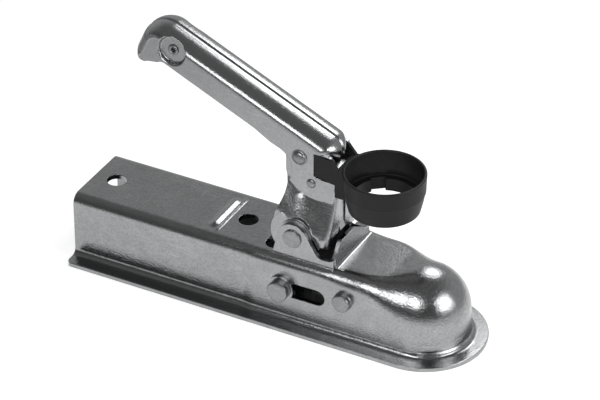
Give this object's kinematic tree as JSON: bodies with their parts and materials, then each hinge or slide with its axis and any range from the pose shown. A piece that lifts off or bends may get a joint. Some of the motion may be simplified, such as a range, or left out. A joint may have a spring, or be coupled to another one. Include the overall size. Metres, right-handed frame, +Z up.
{
  "type": "trailer coupling",
  "caption": "Pressed steel trailer coupling head with a hand lever, a ball jaw that slides, and a plug holder ring; bolts to a square drawbar.",
  "frame": {"origin": "centre of the tow ball when the head is coupled", "axes": "+X towards the nose, +Z up, the right side at -Y"},
  "size_m": [0.2753, 0.0806, 0.1771],
  "materials": {
    "zinc_body": "bright zinc plating, mottled, with worn bends",
    "zinc_lever": "bright zinc plating, satin",
    "rivet_steel": "dull plated rivet",
    "inner_steel": "dull plated steel",
    "spring_steel": "drawn spring wire",
    "cast_jaw": "phosphated casting",
    "black_plastic": "satin moulded plastic"
  },
  "bodies": {
    "root": {"body_shell": "zinc_body", "front_rivet": "rivet_steel", "guide_bush": "inner_steel", "pivot_rivet": "rivet_steel", "pivot_bush": "inner_steel", "pivot_washer_right": "inner_steel", "pivot_washer_left": "inner_steel", "lever_spring_right": "spring_steel", "lever_spring_left": "spring_steel"},
    "lever": {"lever_bracket": "zinc_lever", "handle_grip": "zinc_lever", "handle_rivet_right": "rivet_steel", "handle_rivet_left": "rivet_steel", "grip_spacer": "inner_steel", "grip_end_rivet": "rivet_steel", "catch_pin": "rivet_steel", "plug_holder": "black_plastic", "catch_spring": "spring_steel"},
    "slider": {"slide_pin": "rivet_steel", "slide_washer_right": "zinc_body", "slide_washer_left": "zinc_body", "ball_jaw": "cast_jaw"},
    "catch": {"safety_catch": "zinc_lever"}
  },
  "joints": [
    {"name": "lever_swing", "type": "hinge", "parent": "root", "child": "lever", "pos_m": [-0.0795, 0, 0.0402], "axis": [0, -1, 0], "range_deg": [0, 34]},
    {"name": "jaw_slide", "type": "slide", "parent": "root", "child": "slider", "axis": [1, 0, 0], "range_m": [0, 0.022]},
    {"name": "catch_swing", "type": "hinge", "parent": "lever", "child": "catch", "pos_m": [-0.07244, 0, 0.07616], "axis": [0, 1, 0], "range_deg": [0, 8], "stiffness_Nm_per_rad": 0.03, "springref_deg": -11.46}
  ],
  "couplings": [
    {"joint": "jaw_slide", "follows": "lever_swing", "m_per_rad": 0.037033}
  ]
}
